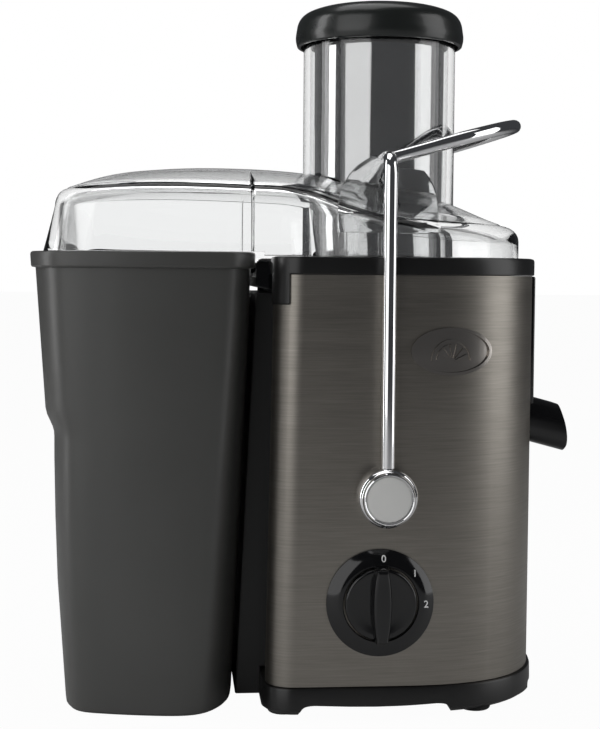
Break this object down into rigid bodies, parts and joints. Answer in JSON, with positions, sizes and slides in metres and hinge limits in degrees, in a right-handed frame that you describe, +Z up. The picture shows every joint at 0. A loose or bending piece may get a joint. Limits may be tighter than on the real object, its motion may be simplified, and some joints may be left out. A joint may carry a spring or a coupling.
{
  "type": "centrifugal juicer",
  "caption": "Centrifugal juicer: steel-clad motor housing, side spout, clear lid with feed chute and pusher, spinning basket, pulp bin and swinging locking arm.",
  "frame": {"origin": "middle of the footprint at the table", "axes": "+Z up, the front with the knob faces -Y, the spout points to +X and the pulp bin stands at -X"},
  "size_m": [0.2644, 0.171, 0.337],
  "materials": {
    "brushed_steel": "fine horizontal brushing, dark warm grey",
    "chrome": "polished",
    "satin_steel": "satin",
    "black_plastic": "fine moulded satin",
    "cap_plastic": "satin with soft broad reflections",
    "gloss_black": "polished",
    "bin_plastic": "satin dark grey",
    "shell_plastic": "fine moulded texture",
    "rubber": "matte",
    "copper": "enamelled wire and bar copper",
    "carbon": "pressed carbon",
    "nylon": "natural nylon",
    "clear_plastic": "clear polycarbonate"
  },
  "bodies": {
    "housing": {"steel_panel": "brushed_steel", "badge": "chrome", "lower_bearing": "satin_steel", "upper_bearing": "satin_steel", "motor_stator": "satin_steel", "lower_bracket": "satin_steel", "upper_bracket": "satin_steel", "motor_screw_front_left": "satin_steel", "motor_screw_front_right": "satin_steel", "motor_screw_rear_left": "satin_steel", "motor_screw_rear_right": "satin_steel", "base_screw_front_left": "satin_steel", "base_screw_front_right": "satin_steel", "base_screw_rear_left": "satin_steel", "base_screw_rear_right": "satin_steel", "base_cover": "black_plastic", "top_rim": "black_plastic", "interlock_switch": "black_plastic", "rotary_switch": "black_plastic", "juice_bowl": "gloss_black", "knob_bezel": "gloss_black", "housing_shell": "shell_plastic", "cord_gland": "rubber", "shaft_seal": "rubber", "rubber_foot_front_left": "rubber", "rubber_foot_front_right": "rubber", "rubber_foot_rear_left": "rubber", "rubber_foot_rear_right": "rubber", "field_coil_left": "copper", "field_coil_right": "copper", "carbon_brush_left": "carbon", "carbon_brush_right": "carbon", "brush_holder_left": "nylon", "brush_holder_right": "nylon", "lid": "clear_plastic"},
    "arm": {"locking_arm": "chrome", "pivot_hub_front": "chrome", "pivot_hub_rear": "chrome", "pivot_disc_front": "satin_steel", "pivot_disc_rear": "satin_steel", "pivot_pin_front": "satin_steel", "pivot_pin_rear": "satin_steel", "interlock_cam": "nylon"},
    "pusher": {"pusher_tube": "gloss_black", "pusher_cap": "cap_plastic"},
    "bin": {"pulp_bin": "bin_plastic"},
    "knob": {"speed_knob": "gloss_black", "switch_shaft": "nylon"},
    "spinner": {"motor_shaft": "satin_steel", "rotor_core": "satin_steel", "commutator": "copper", "cooling_fan": "black_plastic", "drive_coupler": "nylon", "filter_basket": "satin_steel", "basket_rim": "black_plastic", "grater_disc": "satin_steel"},
    "plunger": {"switch_plunger": "nylon"}
  },
  "joints": [
    {"name": "arm_swing", "type": "hinge", "parent": "housing", "child": "arm", "pos_m": [0.0323, 0, 0.104], "axis": [0, 1, 0], "range_deg": [0, 95]},
    {"name": "pusher_lift", "type": "slide", "parent": "housing", "child": "pusher", "axis": [0, 0, 1], "range_m": [0, 0.15]},
    {"name": "bin_slide", "type": "slide", "parent": "housing", "child": "bin", "axis": [-1, 0, 0], "range_m": [0, 0.12]},
    {"name": "knob_turn", "type": "hinge", "parent": "housing", "child": "knob", "pos_m": [0.0303, 0, 0.0544], "axis": [0, 1, 0], "range_deg": [0, 90]},
    {"name": "basket_spin", "type": "hinge", "parent": "housing", "child": "spinner", "pos_m": [0.0373, 0, 0.15], "axis": [0, 0, 1], "continuous": true},
    {"name": "plunger_travel", "type": "slide", "parent": "housing", "child": "plunger", "axis": [0, 0, 1], "range_m": [0, 0.0031]}
  ],
  "couplings": [
    {"joint": "plunger_travel", "follows": "arm_swing", "m_per_rad": 0.0018093}
  ]
}
